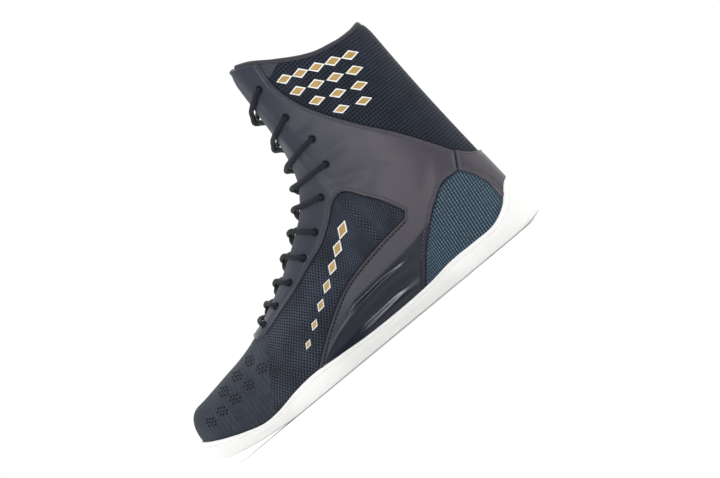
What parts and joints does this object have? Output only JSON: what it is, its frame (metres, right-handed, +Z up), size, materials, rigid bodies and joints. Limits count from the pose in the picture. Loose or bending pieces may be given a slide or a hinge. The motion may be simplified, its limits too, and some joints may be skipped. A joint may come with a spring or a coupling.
{
  "type": "boxing shoe",
  "caption": "High lace-up boxing shoe for the left foot: thin cup sole with round tread pods, hollow mesh bootie, leather saddle and eyestay, heel strap, tongue and crossed lace.",
  "frame": {"origin": "on the floor, under the middle of the bounding box", "axes": "+X from heel to toe, +Y to the outer side of the foot, +Z up"},
  "size_m": [0.291, 0.1044, 0.218],
  "materials": {
    "white_rubber": "matt moulded white rubber",
    "navy_mesh": "dark navy woven mesh",
    "grey_leather": "smooth dark grey synthetic leather, satin",
    "grey_binding": "grey knit binding tape",
    "navy_lace": "round braided navy lace",
    "lining": "dark lining cloth"
  },
  "bodies": {
    "root": {"outsole": "white_rubber", "insole": "lining", "upper": "navy_mesh", "tongue": "navy_mesh", "saddle_lateral": "grey_leather", "saddle_medial": "grey_leather", "heel_strap": "grey_leather", "collar_binding": "grey_binding", "lace_bar": "navy_lace", "lace_cross_1": "navy_lace", "lace_cross_2": "navy_lace", "lace_cross_3": "navy_lace", "lace_cross_4": "navy_lace", "lace_cross_5": "navy_lace", "lace_cross_6": "navy_lace", "lace_cross_7": "navy_lace", "lace_cross_8": "navy_lace", "lace_cross_9": "navy_lace"}
  },
  "joints": []
}
